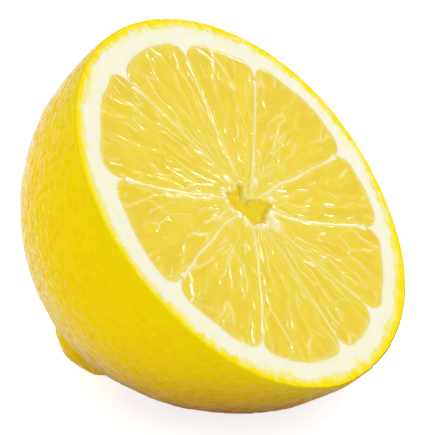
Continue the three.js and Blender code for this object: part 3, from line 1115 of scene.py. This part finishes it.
low_ring = outer_ring + CORE_ROWS * CORE_STEPS
core_skirt = np.stack([outer_ring, np.roll(outer_ring, -1), np.roll(low_ring, -1), low_ring], -1)
print(f"the stump's top runs from {core_height.min():.2f} to {core_height.max():.2f} mm")

# %% Core material
core_finish, tree, shader = new_material(
    "golden_core",
    **{"Subsurface Weight": 0.3, "Subsurface Radius": (1.0, 0.8, 0.3), "Subsurface Scale": 0.0006,
       "Roughness": 0.35, "IOR": 1.36, "Coat Weight": 0.15, "Coat Roughness": 0.1},
)
gold = place_group(tree, mottle, Lump_Size=1.5, Contrast=1.5, Colour_One=paint(251, 232, 100),
                   Colour_Two=paint(250, 224, 70))
colour = stained(tree, gold.outputs["Colour"], "deep", paint(247, 214, 0), 1.0)
join(tree, colour, shader.inputs["Base Color"])
fine_bump(tree, shader, 0.4, 0.3, 0.015)
core = make_piece(
    "core_stump", core_points, [core_quads, fan(inner_ring, len(core_points) - 2, turned=True)],
    [core_skirt[:, ::-1], fan(low_ring, len(core_points) - 1)], 0.5 + (core_points[:, :2] - CORE) / 3,
    {"deep": padded_rows(core_deep, CORE_STEPS + 2)}, core_finish,
)

# %% [markdown]
# ## The stage
# A pale floor, wide enough to fill every view, and soft light from all round. The floor shines like a
# light table, but only for the eye and for glossy surfaces: if it lit the fruit too, the underside
# would lose its shade. The camera looks down at the fruit with the cut face turned a little away,
# through a long lens that keeps it undistorted.
# %% Floor
FLOOR_REACH = 3.0
FLOOR_GLOW, FLOOR_GLEAM = 0.72, 0.45  # how brightly it shines for the eye and in glossy surfaces
floor_mesh = bpy.data.meshes.new("floor")
corners = [(-1, -1), (1, -1), (1, 1), (-1, 1)]
floor_mesh.from_pydata([(x * FLOOR_REACH, y * FLOOR_REACH, 0) for x, y in corners], [], [(0, 1, 2, 3)])
floor = bpy.data.objects.new("floor", floor_mesh)
bpy.context.scene.collection.objects.link(floor)
floor_finish, tree, shader = new_material(
    "light_table",
    **{"Base Color": (0.72, 0.72, 0.72, 1), "Roughness": 0.8, "Specular IOR Level": 0.1,
       "Emission Color": (1, 1, 1, 1)},
)
seen_by = add(tree, "ShaderNodeLightPath")
direct = add(tree, "ShaderNodeMath", operation="MULTIPLY")
direct.inputs[1].default_value = FLOOR_GLOW
glow = add(tree, "ShaderNodeMath", operation="MULTIPLY_ADD")
glow.inputs[1].default_value = FLOOR_GLEAM
join(tree, seen_by.outputs["Is Camera Ray"], direct.inputs[0])
join(tree, seen_by.outputs["Is Glossy Ray"], glow.inputs[0])
join(tree, direct.outputs[0], glow.inputs[2])
join(tree, glow.outputs[0], shader.inputs["Emission Strength"])
floor_mesh.materials.append(floor_finish)
print(f"floor {2 * FLOOR_REACH:.0f} m wide")

# %% Camera
VIEW_AZIMUTH, VIEW_ELEVATION = math.radians(-62.1), math.radians(26)
DISTANCE = 0.45
LENS, SENSOR = 273.0, 36.0
FACE_IN_VIEW = (4.59 * MM, 2.65 * MM)  # the middle of the face lies this far right of and above the axis

view_right = Vector((math.cos(VIEW_AZIMUTH), math.sin(VIEW_AZIMUTH), 0))
view_back = Vector((math.sin(VIEW_AZIMUTH) * math.cos(VIEW_ELEVATION),
                    -math.cos(VIEW_AZIMUTH) * math.cos(VIEW_ELEVATION), math.sin(VIEW_ELEVATION)))
view_up = view_back.cross(view_right)
camera_data = bpy.data.cameras.new("camera")
camera_data.lens, camera_data.sensor_width = LENS, SENSOR
camera_data.clip_start, camera_data.clip_end = 0.01, 20
camera = bpy.data.objects.new("camera", camera_data)
look_at = Vector(face_middle) - view_right * FACE_IN_VIEW[0] - view_up * FACE_IN_VIEW[1]
turn = Matrix((view_right, view_up, view_back)).transposed().to_4x4()
camera.matrix_world = Matrix.Translation(look_at + view_back * DISTANCE) @ turn
bpy.context.scene.collection.objects.link(camera)
bpy.context.scene.camera = camera
print(f"camera {DISTANCE} m from the fruit, with a {LENS:.0f} mm lens")

# %% Lights


def softbox(name, azimuth, elevation, distance, size, share):
    """A square light facing the fruit; `share` is its light next to that of a plain white sky."""
    a, e = math.radians(azimuth), math.radians(elevation)
    back = Vector((math.sin(a) * math.cos(e), -math.cos(a) * math.cos(e), math.sin(e)))
    data = bpy.data.lights.new(name, "AREA")
    data.shape, data.size = "SQUARE", size
    data.energy = share * 4 * math.pi * distance**2
    lamp = bpy.data.objects.new(name, data)
    lamp.location = Vector(face_middle) + back * distance
    lamp.rotation_euler = back.to_track_quat("Z", "Y").to_euler()
    bpy.context.scene.collection.objects.link(lamp)
    return lamp


# Name, azimuth and elevation in degrees, distance and size in metres, share of a white sky's light.
softbox("key", 42, 50, 0.8, 0.14, 0.20)
softbox("front", 15, 12, 0.8, 0.14, 0.16)
softbox("right", 92, 14, 0.8, 0.14, 0.12)
softbox("fill", -95, 3, 0.9, 0.80, 0.50)
softbox("rim", 180, 6, 0.8, 0.45, 0.10)
softbox("back", 160, 30, 0.8, 0.30, 0.10)

world = bpy.data.worlds.new("studio")
world.use_nodes = True
background = world.node_tree.nodes["Background"]
background.inputs["Color"].default_value = (1, 1, 1, 1)
background.inputs["Strength"].default_value = 0.52
bpy.context.scene.world = world
bpy.context.scene.view_settings.view_transform = "Standard"
bpy.context.scene.view_settings.look = "None"
